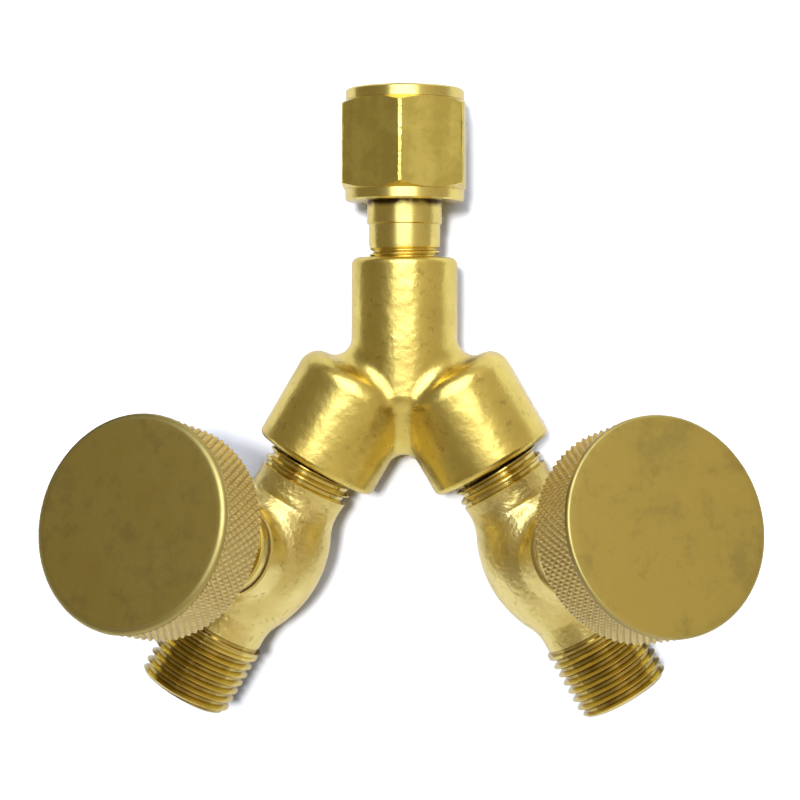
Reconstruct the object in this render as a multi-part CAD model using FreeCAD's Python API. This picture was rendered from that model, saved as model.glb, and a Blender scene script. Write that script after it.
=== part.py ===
import FreeCAD, Part
import math
import os

from FreeCAD import Vector

# Oxygen Y-connector: a swivel-nut inlet feeds two outlets, each with its own shut-off valve.
# Millimetres. +Y leaves the inlet nut's mouth, +X is the right-hand side and +Z is the side of the
# knobs. The origin is the centre of the nut's mouth. The object lies on its back.

# Layout
crossing_depth = 32.4        # nut mouth to the crossing of the three axes
arm_angle = 30.0             # each arm from the line of the inlet
stem_tilt = 28.0             # each valve stem, leaning outwards about its arm
stem_station = 42.8          # crossing to the stem, along the arm
outlet_station = 66.0        # crossing to the end of an outlet, along the arm
fit_gap = 0.05               # radial clearance of a running fit
thread_gap = 0.02            # radial clearance of a made-up thread
seal_wall = 0.12             # compound between tapered threads
pipe_taper = 1.0 / 32.0      # radius gained per length on a tapered pipe thread
edge_break = 0.3             # small turned chamfer on a rim or at a thread's end
hex_chamfer_angle = 30.0     # turned chamfer on the corners of a hexagon
overrun = 1.0                # how far a cut runs past the face it opens

# Forged Y body
barrel_radius = 7.85
barrel_top = 7.7             # above the crossing
barrel_rim = 1.1             # rounding of the rim
socket_radius = 9.55
socket_back = 11.3           # crossing to the back of a socket, along the arm
socket_mouth = 26.6          # crossing to the mouth of a socket, along the arm
socket_shoulder = 3.0        # rounding of the socket's back
socket_rim = 0.9             # rounding of the socket's mouth
barrel_foot = 15.4           # how far the barrel runs below the crossing
barrel_foot_round = 2.8      # rounding of the barrel's foot
body_blend = 2.5             # blend in the hollows between barrel and sockets
passage_radius = 3.0
inlet_tap_depth = 8.6
socket_tap_depth = 11.0
tap_run_out = 1.2            # cone between a tapped hole and its passage
countersink = 1.0            # at the mouth of a tapped hole

# Inlet nipple
nipple_radius = 5.55
nipple_relief_radius = 5.28
nipple_step = 12.7           # end of the full diameter, above the crossing
nipple_step_run = 0.15
nipple_thread_top = 9.5      # above the crossing
nipple_thread_radius = 5.14  # at the barrel's rim
nipple_engagement = 7.2
nipple_collar_radius = 6.2
nipple_collar_length = 1.2
nipple_nose_radius = 4.9
nipple_nose_length = 2.0
nipple_nose_crown = 0.3      # how far the nose bulges beyond a plain cone
nipple_nose_land = 0.6       # flat ring round the bore
nipple_bore_radius = 2.8

# Inlet nut
nut_length = 16.4
nut_flats = 17.8
nut_turn = -2.6              # degrees, a corner from straight up
nut_collar_radius = 8.8
nut_collar_length = 1.6
nut_collar_edge = 0.25
nut_shoulder_inset = 0.12    # start of the corner chamfer, inside the flats
nut_thread_bore = 6.38
nut_thread_length = 8.8
nut_relief_radius = 7.25
nut_mouth_chamfer = 0.6
nut_back_wall = 3.4

# Valve body
pipe_thread_radius = 6.86    # at the socket's mouth
pipe_engagement = 9.2
pipe_thread_end = 29.6       # crossing to the end of the visible thread, along the arm
neck_radius = 6.6
globe_start = 33.2
globe_end = 51.8
globe_radius = 9.35
boss_radius = 8.6            # at the flow axis
boss_top_radius = 7.15
boss_height = 9.2            # above the flow axis
boss_edge = 0.25
boss_blend = 2.4
outlet_thread_radius = 7.14
outlet_thread_length = 10.5
outlet_chamfer = 0.55
outlet_relief_radius = 6.5
outlet_relief_length = 0.6
outlet_relief_run = 0.1
pipe_thread_edge = 0.5
outlet_mouth_radius = 5.2
outlet_mouth_depth = 2.2
outlet_cone_angle = 45.0
outlet_bore_radius = 2.4
outlet_way_rise = 4.3        # height of the outlet passage where it leaves the chamber
seat_height = 3.6            # seat land above the flow axis
seat_bore_radius = 2.5
chamber_radius = 4.6
chamber_run_out = 0.6
bonnet_thread_radius = 5.5
bonnet_thread_depth = 2.8
bonnet_countersink = 0.5

# Valve trim, along the stem
stem_pitch = 1.27            # rise per turn
stem_turns = 2.0             # closed to fully open
gasket_thickness = 0.4
bonnet_flange_radius = 6.7
bonnet_flange_thickness = 1.5
bonnet_flats = 11.1
bonnet_hex_length = 3.6
bonnet_neck_radius = 4.9
bonnet_neck_length = 4.7
bonnet_bore_radius = 3.9
bonnet_bore_run_out = 0.5
bonnet_hex_chamfer = 0.7     # taken off the corners' radius
stop_land = 0.3              # bonnet thread above the holder, valve fully open
stem_thread_radius = 3.175
stem_shank_radius = 2.38
stem_neck_radius = 1.5
stem_button_radius = 2.1
stem_button_thickness = 1.4
stem_thread_start = 0.5      # above the holder
stem_thread_clearance = 0.2  # thread's end below the packing, valve fully open
stem_end_chamfer = 0.4
disc_radius = 3.2
disc_thickness = 1.4
disc_recess = 0.8
holder_radius = 3.6
holder_height = 4.0
holder_floor = 0.8           # between the disc and the stem's button
packing_length = 2.2
packing_wall = 1.25
packing_squeeze = 0.5        # how far the packing washer stands out of the bonnet
washer_thickness = 0.8
packing_nut_flats = 11.1
packing_nut_top = 1.4
packing_nut_skirt = 4.0
packing_nut_turn = 17.0      # degrees, a corner from the arm's line
packing_nut_foot_chamfer = 0.7
packing_nut_crown_chamfer = 1.04

# Knob
knob_radius = 15.0
knob_thickness = 10.0
knob_clearance = 2.5         # hub above the packing nut, valve closed
knob_edge = 0.5
knob_bore_depth = 7.2
hub_radius = 5.4
hub_length = 1.8
hub_edge = 0.4
knob_bore_space = 0.3        # between the stem's end and the bottom of the knob's bore
screw_bearing = 90.0         # degrees from the arm's line to the set screw, turned outwards
screw_flat = 1.9             # flat of the stem from its axis
screw_flat_margin = 0.5      # flat beyond the screw on each side
set_screw_radius = 2.08
set_screw_length = 6.4
set_screw_point = 0.5
set_screw_socket_flats = 1.98
set_screw_socket_depth = 2.6

ORIGIN = Vector(0, 0, 0)
X = Vector(1, 0, 0)
Y = Vector(0, 1, 0)
Z = Vector(0, 0, 1)
NO_TURN = FreeCAD.Rotation()


def turned(section, axis):
    """Revolve a closed section about an axis through the origin. The section is a list of
    (station, radius) points; a pair of such points is an arc through the first to the second."""
    radial = X if axis == Z else Z * -1.0

    def place(point):
        return axis * point[0] + radial * point[1]

    edges = []
    here = section[0]
    for item in section[1:] + section[:1]:
        if isinstance(item[0], tuple):
            edges.append(Part.Arc(place(here), place(item[0]), place(item[1])).toShape())
            here = item[1]
        else:
            edges.append(Part.LineSegment(place(here), place(item)).toShape())
            here = item
    solid = Part.Face(Part.Wire(edges)).revolve(ORIGIN, axis, 360)
    if solid.Volume < 0:
        solid.reverse()
    return solid


def rod(radius, start, end, axis):
    """A plain round bar from one station to another."""
    return Part.makeCylinder(radius, end - start, axis * start, axis)


def hex_corner(flats):
    """Radius of a hexagon's corners from its width across flats."""
    return flats / math.sqrt(3.0)


def chamfer_rise(run):
    """Length along the axis of a hexagon's corner chamfer from what it takes off the radius."""
    return run * math.tan(math.radians(hex_chamfer_angle))


def hexagon(flats, start, end, axis, turn=0.0):
    """A six-sided prism; turn is the angle of one corner from the radial direction."""
    radial = X if axis == Z else Z
    spin = FreeCAD.Rotation(axis, turn)
    step = FreeCAD.Rotation(axis, 60.0)
    point = spin.multVec(radial * hex_corner(flats)) + axis * start
    points = [point]
    for _ in range(6):
        point = step.multVec(point)
        points.append(point)
    return Part.Face(Part.makePolygon(points)).extrude(axis * (end - start))


def corner_arc(start, corner, end):
    """Middle point of the quarter round that replaces a square corner."""
    centre = (start[0] + end[0] - corner[0], start[1] + end[1] - corner[1])
    reach = math.hypot(start[0] - centre[0], start[1] - centre[1])
    away = (corner[0] - centre[0], corner[1] - centre[1])
    length = math.hypot(away[0], away[1])
    return (centre[0] + away[0] * reach / length, centre[1] + away[1] * reach / length)


def hollow_edges(shape):
    """The edges along which two faces of a shape meet in a hollow, as at the foot of a boss."""
    probe = 0.03
    flat_enough = 0.05
    found = []
    for edge in shape.Edges:
        faces = shape.ancestorsOfType(edge, Part.Face)
        if len(faces) != 2:
            continue
        first, last = edge.ParameterRange
        middle = edge.valueAt((first + last) / 2.0)
        normals = []
        for face in faces:
            u, v = face.Surface.parameter(middle)
            normals.append(face.normalAt(u, v))
        if normals[0].cross(normals[1]).Length < flat_enough:
            continue
        across = middle + (normals[0] - normals[1]) * probe
        if shape.isInside(across, 1e-4, True):
            found.append(edge)
    return found


def one_solid(shape):
    """The single solid of a boolean result."""
    return shape.removeSplitter().Solids[0]


def arm_placement(side, tilt=stem_tilt):
    """Placement of an arm's own frame: X along the arm, Z along the stem."""
    angle = math.radians(arm_angle)
    lean = math.radians(tilt)
    along = Vector(side * math.sin(angle), -math.cos(angle), 0)
    outward = Vector(side * math.cos(angle), math.sin(angle), 0)
    stem = Z * math.cos(lean) + outward * math.sin(lean)
    turn = FreeCAD.Rotation(along, stem.cross(along), stem, "XZY")
    return FreeCAD.Placement(Vector(0, -crossing_depth, 0), turn)


def put(shape, placement):
    """A copy of the shape at its place in the assembly."""
    return shape.transformed(placement.toMatrix(), True)


def at_stem(shape):
    """The shape moved from the origin to the stem's station on the arm."""
    return put(shape, FreeCAD.Placement(X * stem_station, NO_TURN))


def pipe_radius(station, mouth, radius):
    """Radius of a tapered pipe thread at a station, from its radius at the mouth."""
    return radius + (station - mouth) * pipe_taper


# Heights along the stem, above the flow axis, with the valve closed
stem_lift = stem_pitch * stem_turns
holder_foot = seat_height + disc_thickness - disc_recess
holder_top = holder_foot + holder_height
button_foot = holder_foot + disc_recess + holder_floor
button_top = button_foot + stem_button_thickness
bonnet_seat = boss_height + gasket_thickness
bonnet_hex_foot = bonnet_seat + bonnet_flange_thickness
bonnet_hex_top = bonnet_hex_foot + bonnet_hex_length
bonnet_top = bonnet_hex_top + bonnet_neck_length
bonnet_thread_foot = holder_top + stem_lift + stop_land
packing_foot = bonnet_top - packing_length - washer_thickness + packing_squeeze
bonnet_foot = boss_height - bonnet_thread_depth
thread_foot = holder_top + stem_thread_start
thread_top = packing_foot - stem_lift - stem_thread_clearance
packing_top = packing_foot + packing_length
washer_top = packing_top + washer_thickness
packing_nut_end = washer_top + packing_nut_top
hub_foot = packing_nut_end + knob_clearance
knob_back = hub_foot + hub_length
knob_face_height = knob_back + knob_thickness
knob_bore_top = knob_back + knob_bore_depth
screw_height = knob_back + knob_thickness / 2.0
packing_radius = stem_shank_radius + packing_wall


def socket_blank():
    """One socket of the Y body along X, solid, with its rounded back and mouth."""
    back_low = (socket_back, socket_radius - socket_shoulder)
    back_high = (socket_back + socket_shoulder, socket_radius)
    mouth_high = (socket_mouth - socket_rim, socket_radius)
    mouth_low = (socket_mouth, socket_radius - socket_rim)
    return turned(
        [
            (socket_back, 0.0),
            back_low,
            (corner_arc(back_low, (socket_back, socket_radius), back_high), back_high),
            mouth_high,
            (corner_arc(mouth_high, (socket_mouth, socket_radius), mouth_low), mouth_low),
            (socket_mouth, 0.0),
        ],
        X,
    )


def barrel_blank():
    """The barrel of the Y body along Y from the crossing, solid, with its rounded ends."""
    foot_low = (-barrel_foot, barrel_radius - barrel_foot_round)
    foot_high = (barrel_foot_round - barrel_foot, barrel_radius)
    rim_low = (barrel_top - barrel_rim, barrel_radius)
    rim_high = (barrel_top, barrel_radius - barrel_rim)
    return turned(
        [
            (-barrel_foot, 0.0),
            foot_low,
            (corner_arc(foot_low, (-barrel_foot, barrel_radius), foot_high), foot_high),
            rim_low,
            (corner_arc(rim_low, (barrel_top, barrel_radius), rim_high), rim_high),
            (barrel_top, 0.0),
        ],
        Y,
    )


def tapped_hole(mouth, depth, radius, axis):
    """Bore of a tapered pipe thread that opens at its mouth, with the passage from the crossing."""
    bottom = mouth - depth
    seal = seal_wall + thread_gap
    return turned(
        [
            (0.0, 0.0),
            (0.0, passage_radius),
            (bottom - tap_run_out, passage_radius),
            (bottom, pipe_radius(bottom, mouth, radius) + seal),
            (mouth - countersink, pipe_radius(mouth - countersink, mouth, radius) + seal),
            (mouth, radius + seal + countersink),
            (mouth + overrun, radius + seal + countersink),
            (mouth + overrun, 0.0),
        ],
        axis,
    )


def body_half():
    """The upper half of the Y body's forging: barrel and sockets, blended in their hollows."""
    blank = barrel_blank()
    for side in (-1, 1):
        turn = FreeCAD.Placement(ORIGIN, arm_placement(side, 0.0).Rotation)
        blank = blank.fuse(put(socket_blank(), turn))
    reach = 2.0 * socket_mouth
    upper = Part.makeBox(2.0 * reach, 2.0 * reach, reach, Vector(-reach, -reach, 0))
    half = one_solid(blank.common(upper))
    return half.makeFillet(body_blend, hollow_edges(half))


def y_body():
    """The forged body: two like halves, joined where the dies part, then bored and tapped."""
    half = body_half()
    body = one_solid(half.fuse(half.mirror(ORIGIN, Z)))
    body = body.cut(tapped_hole(barrel_top, inlet_tap_depth, nipple_thread_radius, Y))
    for side in (-1, 1):
        turn = FreeCAD.Placement(ORIGIN, arm_placement(side, 0.0).Rotation)
        bore = tapped_hole(socket_mouth, socket_tap_depth, pipe_thread_radius, X)
        body = body.cut(put(bore, turn))
    body = one_solid(body)
    body.translate(Vector(0, -crossing_depth, 0))
    return body


def thread_seal(mouth, length, radius, axis):
    """The compound that seals a tapered thread, as a thin cone between the two threads."""
    foot = mouth - countersink - length
    top = mouth - countersink
    foot_radius = pipe_radius(foot, mouth, radius) + thread_gap / 2.0
    top_radius = pipe_radius(top, mouth, radius) + thread_gap / 2.0
    return turned(
        [
            (foot, foot_radius),
            (top, top_radius),
            (top, top_radius + seal_wall),
            (foot, foot_radius + seal_wall),
        ],
        axis,
    )


def inlet_nipple():
    """The nipple: pipe thread, two turned diameters, a collar that holds the nut and a ball nose."""
    foot = barrel_top - nipple_engagement
    collar = crossing_depth - nut_length + nut_back_wall + fit_gap
    nose = collar + nipple_collar_length
    tip = nose + nipple_nose_length
    land = nipple_bore_radius + nipple_nose_land
    chord = math.hypot(nipple_nose_length, nipple_nose_radius - land)
    crown = (
        (nose + tip) / 2.0 + nipple_nose_crown * (nipple_nose_radius - land) / chord,
        (nipple_nose_radius + land) / 2.0 + nipple_nose_crown * nipple_nose_length / chord,
    )

    def thread_radius(station):
        return pipe_radius(station, barrel_top, nipple_thread_radius)

    blank = turned(
        [
            (foot, nipple_bore_radius),
            (foot, thread_radius(foot) - pipe_thread_edge),
            (foot + pipe_thread_edge, thread_radius(foot + pipe_thread_edge)),
            (nipple_thread_top, thread_radius(nipple_thread_top)),
            (nipple_thread_top, nipple_relief_radius),
            (nipple_step - nipple_step_run, nipple_relief_radius),
            (nipple_step, nipple_radius),
            (collar, nipple_radius),
            (collar, nipple_collar_radius),
            (nose, nipple_collar_radius),
            (nose, nipple_nose_radius),
            (crown, (tip, land)),
            (tip, nipple_bore_radius),
        ],
        Y,
    )
    blank.translate(Vector(0, -crossing_depth, 0))
    return blank


def inlet_nut():
    """The swivel nut: a hexagon turned down to a collar at each end, with a thread bore and a
    back wall that the nipple's collar bears on."""
    foot = -nut_length
    outer = hex_corner(nut_flats) + edge_break
    shoulder = nut_flats / 2.0 - nut_shoulder_inset
    rise = chamfer_rise(outer - shoulder)
    low = foot + nut_collar_length
    high = -nut_collar_length
    envelope = turned(
        [
            (foot, 0.0),
            (foot, nut_collar_radius - nut_collar_edge),
            (foot + nut_collar_edge, nut_collar_radius),
            (low, nut_collar_radius),
            (low, shoulder),
            (low + rise, outer),
            (high - rise, outer),
            (high, shoulder),
            (high, nut_collar_radius),
            (-nut_collar_edge, nut_collar_radius),
            (0.0, nut_collar_radius - nut_collar_edge),
            (0.0, 0.0),
        ],
        Y,
    )
    blank = hexagon(nut_flats, low, high, Y, nut_turn)
    blank = blank.fuse(rod(nut_collar_radius, foot, 0.0, Y)).common(envelope)
    thread_end = -nut_mouth_chamfer - nut_thread_length
    back = foot + nut_back_wall
    bore = turned(
        [
            (foot - overrun, 0.0),
            (foot - overrun, nipple_radius + fit_gap),
            (back, nipple_radius + fit_gap),
            (back, nut_relief_radius),
            (thread_end, nut_relief_radius),
            (thread_end, nut_thread_bore),
            (-nut_mouth_chamfer, nut_thread_bore),
            (0.0, nut_thread_bore + nut_mouth_chamfer),
            (overrun, nut_thread_bore + nut_mouth_chamfer),
            (overrun, 0.0),
        ],
        Y,
    )
    return one_solid(blank.cut(bore))


def valve_forging():
    """Outside of a valve body, in two parts: the run from pipe thread to outlet thread, with neck
    and globe, and the boss for the bonnet."""
    foot = socket_mouth - pipe_engagement
    thread_end = outlet_station - outlet_thread_length
    middle = (globe_start + globe_end) / 2.0

    def thread_radius(station):
        return pipe_radius(station, socket_mouth, pipe_thread_radius)

    main = turned(
        [
            (foot, 0.0),
            (foot, thread_radius(foot) - pipe_thread_edge),
            (foot + pipe_thread_edge, thread_radius(foot + pipe_thread_edge)),
            (pipe_thread_end, thread_radius(pipe_thread_end)),
            (globe_start, neck_radius),
            ((middle, globe_radius), (globe_end, neck_radius)),
            (thread_end - outlet_relief_length, neck_radius),
            (thread_end - outlet_relief_length + outlet_relief_run, outlet_relief_radius),
            (thread_end, outlet_relief_radius),
            (thread_end, outlet_thread_radius),
            (outlet_station - outlet_chamfer, outlet_thread_radius),
            (outlet_station, outlet_thread_radius - outlet_chamfer),
            (outlet_station, 0.0),
        ],
        X,
    )
    boss = turned(
        [
            (0.0, 0.0),
            (0.0, boss_radius),
            (boss_height - boss_edge, boss_top_radius),
            (boss_height, boss_top_radius - boss_edge),
            (boss_height, 0.0),
        ],
        Z,
    )
    return main, at_stem(boss)


def valve_cavity():
    """Everything bored out of a valve body: inlet passage, seat, stem chamber and outlet."""
    foot = socket_mouth - pipe_engagement
    inlet = rod(passage_radius, foot - overrun, stem_station, X)
    inlet = inlet.fuse(at_stem(Part.makeSphere(passage_radius)))
    thread_bore = bonnet_thread_radius + thread_gap
    chamber = turned(
        [
            (0.0, 0.0),
            (0.0, seat_bore_radius),
            (seat_height, seat_bore_radius),
            (seat_height, chamber_radius),
            (bonnet_foot - chamber_run_out, chamber_radius),
            (bonnet_foot, thread_bore),
            (boss_height - bonnet_countersink, thread_bore),
            (boss_height, thread_bore + bonnet_countersink),
            (boss_height + overrun, thread_bore + bonnet_countersink),
            (boss_height + overrun, 0.0),
        ],
        Z,
    )
    cone_mouth = outlet_station - outlet_mouth_depth
    cone_length = (outlet_mouth_radius - outlet_bore_radius) / math.tan(math.radians(outlet_cone_angle))
    cone_foot = cone_mouth - cone_length
    mouth = turned(
        [
            (cone_foot, 0.0),
            (cone_foot, outlet_bore_radius),
            (cone_mouth, outlet_mouth_radius),
            (outlet_station - edge_break, outlet_mouth_radius),
            (outlet_station, outlet_mouth_radius + edge_break),
            (outlet_station + overrun, outlet_mouth_radius + edge_break),
            (outlet_station + overrun, 0.0),
        ],
        X,
    )
    start = Vector(cone_foot + edge_break, 0, 0)
    end = Vector(stem_station + chamber_radius - overrun, 0, outlet_way_rise)
    way = Part.makeCylinder(outlet_bore_radius, end.distanceToPoint(start), start, end - start)
    return inlet.fuse([at_stem(chamber), mouth, way])


def valve_body():
    """The valve body in the arm's frame, with its seat and passages."""
    main, boss = valve_forging()
    crest = at_stem(rod(boss_radius, boss_height, boss_height + globe_radius, Z))
    blank = one_solid(main.fuse(boss).cut(crest))
    boss_foot = [
        edge
        for edge in hollow_edges(blank)
        if abs(edge.CenterOfMass.x - stem_station) < boss_radius and edge.BoundBox.ZMin > 0.0
    ]
    blank = blank.makeFillet(boss_blend, boss_foot)
    return one_solid(blank.cut(valve_cavity()))


def bonnet_gasket():
    """The flat ring between the boss and the bonnet's flange."""
    return turned(
        [
            (boss_height, bonnet_thread_radius + fit_gap),
            (bonnet_seat, bonnet_thread_radius + fit_gap),
            (bonnet_seat, bonnet_flange_radius),
            (boss_height, bonnet_flange_radius),
        ],
        Z,
    )


def bonnet():
    """The bonnet: a hollow threaded shank, a round flange, a hexagon and the packing neck."""
    corner = hex_corner(bonnet_flats)
    outside = turned(
        [
            (bonnet_foot, 0.0),
            (bonnet_foot, bonnet_thread_radius - edge_break),
            (bonnet_foot + edge_break, bonnet_thread_radius),
            (bonnet_seat, bonnet_thread_radius),
            (bonnet_seat, bonnet_flange_radius),
            (bonnet_hex_foot - edge_break, bonnet_flange_radius),
            (bonnet_hex_foot, bonnet_flange_radius - edge_break),
            (bonnet_hex_foot, corner),
            (bonnet_hex_top - chamfer_rise(bonnet_hex_chamfer), corner),
            (bonnet_hex_top, corner - bonnet_hex_chamfer),
            (bonnet_hex_top, bonnet_neck_radius),
            (bonnet_top - edge_break, bonnet_neck_radius),
            (bonnet_top, bonnet_neck_radius - edge_break),
            (bonnet_top, 0.0),
        ],
        Z,
    )
    sleeve = rod(bonnet_flange_radius, bonnet_foot, bonnet_hex_foot, Z)
    sleeve = sleeve.fuse(rod(bonnet_neck_radius, bonnet_hex_top, bonnet_top, Z))
    sleeve = sleeve.fuse(hexagon(bonnet_flats, bonnet_hex_foot, bonnet_hex_top, Z))
    bore = turned(
        [
            (bonnet_foot - overrun, 0.0),
            (bonnet_foot - overrun, bonnet_bore_radius),
            (bonnet_thread_foot - bonnet_bore_run_out, bonnet_bore_radius),
            (bonnet_thread_foot, stem_thread_radius + thread_gap),
            (packing_foot, stem_thread_radius + thread_gap),
            (packing_foot, packing_radius + fit_gap),
            (bonnet_top + overrun, packing_radius + fit_gap),
            (bonnet_top + overrun, 0.0),
        ],
        Z,
    )
    return one_solid(sleeve.common(outside).cut(bore))


def ring(foot, top, inner, outer):
    """A plain ring about the stem axis."""
    return turned([(foot, inner), (top, inner), (top, outer), (foot, outer)], Z)


def packing():
    """The soft ring that seals the stem in the bonnet."""
    return ring(packing_foot, packing_top, stem_shank_radius + fit_gap, packing_radius)


def packing_washer():
    """The hard ring that the packing nut presses on the packing."""
    return ring(packing_top, washer_top, stem_shank_radius + fit_gap * 2.0, packing_radius)


def packing_nut():
    """The hexagon cap screwed over the bonnet's neck."""
    foot = washer_top - packing_nut_skirt
    corner = hex_corner(packing_nut_flats)
    envelope = turned(
        [
            (foot, 0.0),
            (foot, corner - packing_nut_foot_chamfer),
            (foot + chamfer_rise(packing_nut_foot_chamfer), corner),
            (packing_nut_end - chamfer_rise(packing_nut_crown_chamfer), corner),
            (packing_nut_end, corner - packing_nut_crown_chamfer),
            (packing_nut_end, 0.0),
        ],
        Z,
    )
    bore = turned(
        [
            (foot - overrun, 0.0),
            (foot - overrun, bonnet_neck_radius + thread_gap),
            (washer_top, bonnet_neck_radius + thread_gap),
            (washer_top, stem_shank_radius + fit_gap * 2.0),
            (packing_nut_end + overrun, stem_shank_radius + fit_gap * 2.0),
            (packing_nut_end + overrun, 0.0),
        ],
        Z,
    )
    blank = hexagon(packing_nut_flats, foot, packing_nut_end, Z, packing_nut_turn)
    return one_solid(blank.common(envelope).cut(bore))


def seat_disc():
    """The soft disc that closes on the seat land."""
    return rod(disc_radius, seat_height, seat_height + disc_thickness, Z)


def seat_holder():
    """The holder that carries the disc and swivels on the stem's button."""
    lip_foot = button_top + fit_gap
    return turned(
        [
            (holder_foot, disc_radius + fit_gap),
            (holder_foot, holder_radius),
            (holder_top - edge_break, holder_radius),
            (holder_top, holder_radius - edge_break),
            (holder_top, stem_neck_radius + fit_gap * 2.0),
            (lip_foot, stem_neck_radius + fit_gap * 2.0),
            (lip_foot, stem_button_radius + fit_gap),
            (button_foot - fit_gap, stem_button_radius + fit_gap),
            (button_foot - fit_gap, 0.0),
            (holder_foot + disc_recess, 0.0),
            (holder_foot + disc_recess, disc_radius + fit_gap),
        ],
        Z,
    )


def stem():
    """The spindle: button, neck, screw thread and shank, with a flat for the knob's screw."""
    end = knob_bore_top - knob_bore_space
    blank = turned(
        [
            (button_foot, 0.0),
            (button_foot, stem_button_radius),
            (button_top, stem_button_radius),
            (button_top, stem_neck_radius),
            (thread_foot, stem_neck_radius),
            (thread_foot, stem_thread_radius - edge_break),
            (thread_foot + edge_break, stem_thread_radius),
            (thread_top - edge_break, stem_thread_radius),
            (thread_top, stem_thread_radius - edge_break),
            (thread_top, stem_shank_radius),
            (end - stem_end_chamfer, stem_shank_radius),
            (end, stem_shank_radius - stem_end_chamfer),
            (end, 0.0),
        ],
        Z,
    )
    width = 2.0 * stem_shank_radius
    height = 2.0 * (set_screw_radius + screw_flat_margin)
    flat = Part.makeBox(stem_shank_radius, width, height)
    flat.translate(Vector(screw_flat, -width / 2.0, screw_height - height / 2.0))
    return one_solid(blank.cut(flat))


def knob():
    """The round knob, with its hub, blind bore and the cross hole of its set screw."""
    back_low = (knob_back, knob_radius - knob_edge)
    back_high = (knob_back + knob_edge, knob_radius)
    face_high = (knob_face_height - knob_edge, knob_radius)
    face_low = (knob_face_height, knob_radius - knob_edge)
    blank = turned(
        [
            (hub_foot, 0.0),
            (hub_foot, hub_radius - hub_edge),
            (hub_foot + hub_edge, hub_radius),
            (knob_back, hub_radius),
            back_low,
            (corner_arc(back_low, (knob_back, knob_radius), back_high), back_high),
            face_high,
            (corner_arc(face_high, (knob_face_height, knob_radius), face_low), face_low),
            (knob_face_height, 0.0),
        ],
        Z,
    )
    bore = rod(stem_shank_radius + fit_gap, hub_foot - overrun, knob_bore_top, Z)
    cross = rod(set_screw_radius + thread_gap, 0.0, knob_radius + overrun, X)
    cross.translate(Z * screw_height)
    return one_solid(blank.cut(bore).cut(cross))


def knob_set_screw():
    """The headless screw that bears on the flat of the stem."""
    end = screw_flat + set_screw_length
    blank = turned(
        [
            (screw_flat, 0.0),
            (screw_flat, set_screw_radius - set_screw_point),
            (screw_flat + set_screw_point, set_screw_radius),
            (end - edge_break, set_screw_radius),
            (end, set_screw_radius - edge_break),
            (end, 0.0),
        ],
        X,
    )
    drive = hexagon(set_screw_socket_flats, end - set_screw_socket_depth, end + overrun, X)
    screw = one_solid(blank.cut(drive))
    screw.translate(Z * screw_height)
    return screw


os.makedirs("parts", exist_ok=True)
pieces = {
    "y_body": y_body(),
    "inlet_nipple": inlet_nipple(),
    "inlet_nut": inlet_nut(),
}
inlet_seal = thread_seal(barrel_top, nipple_engagement - countersink, nipple_thread_radius, Y)
pieces["inlet_thread_seal"] = put(inlet_seal, FreeCAD.Placement(Y * -crossing_depth, NO_TURN))

# In the arm's own frame: what lies along the flow axis, what stands still on the stem's axis, and
# what the set screw turns with the stem
outlet_seal = thread_seal(socket_mouth, pipe_engagement - countersink, pipe_thread_radius, X)
flow_pieces = {"thread_seal": outlet_seal, "valve_body": valve_body()}
still_pieces = {
    "bonnet_gasket": bonnet_gasket(),
    "bonnet": bonnet(),
    "packing": packing(),
    "packing_washer": packing_washer(),
    "packing_nut": packing_nut(),
    "seat_disc": seat_disc(),
    "seat_holder": seat_holder(),
}
turning_pieces = {"stem": stem(), "knob": knob(), "knob_set_screw": knob_set_screw()}
for name, side in (("left", -1), ("right", 1)):
    arm = arm_placement(side)
    bearing = FreeCAD.Placement(ORIGIN, FreeCAD.Rotation(Z, side * screw_bearing))
    for piece, shape in flow_pieces.items():
        pieces[name + "_" + piece] = put(shape, arm)
    for piece, shape in still_pieces.items():
        pieces[name + "_" + piece] = put(at_stem(shape), arm)
    for piece, shape in turning_pieces.items():
        pieces[name + "_" + piece] = put(at_stem(put(shape, bearing)), arm)

for name, shape in pieces.items():
    shape.exportStep("parts/" + name + ".step")
    print(name, shape.isValid(), len(shape.Solids), round(shape.Volume, 2))
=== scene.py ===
import math

from random import Random

import bmesh
import bpy
from mathutils import Matrix, Vector


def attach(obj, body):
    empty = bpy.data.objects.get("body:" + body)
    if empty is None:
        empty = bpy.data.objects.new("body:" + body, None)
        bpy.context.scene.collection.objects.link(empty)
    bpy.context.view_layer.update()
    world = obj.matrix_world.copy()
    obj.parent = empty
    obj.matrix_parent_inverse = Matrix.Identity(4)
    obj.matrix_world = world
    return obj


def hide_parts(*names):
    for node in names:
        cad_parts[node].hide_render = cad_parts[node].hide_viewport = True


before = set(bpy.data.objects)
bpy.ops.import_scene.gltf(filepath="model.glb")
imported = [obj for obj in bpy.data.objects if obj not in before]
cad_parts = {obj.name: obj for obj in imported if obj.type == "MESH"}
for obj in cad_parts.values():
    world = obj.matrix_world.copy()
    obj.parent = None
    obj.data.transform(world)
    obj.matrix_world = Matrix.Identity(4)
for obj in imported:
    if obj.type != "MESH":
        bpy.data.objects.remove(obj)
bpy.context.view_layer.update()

# Stage: the connector lies on its back on a white sweep, seen from straight above its knobs. A long
# soft box reaches from overhead to the far side, the studio is darker to the left than to the right,
# and a lamp that only the paper shows keeps the floor white and gives the parts their soft shadow.
# The brass mirrors two smaller and darker sheets in the same place instead of the bright sweep.
MM = 0.001
FLOOR_Z = -10.36
CAMERA_PLACE = (7.884, -34.777, 283.827)
CAMERA_TURNS = (0.0390, -0.0299, -0.0039)
CAMERA_LENS = 85.91
CAMERA_SENSOR = 36.0
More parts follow.
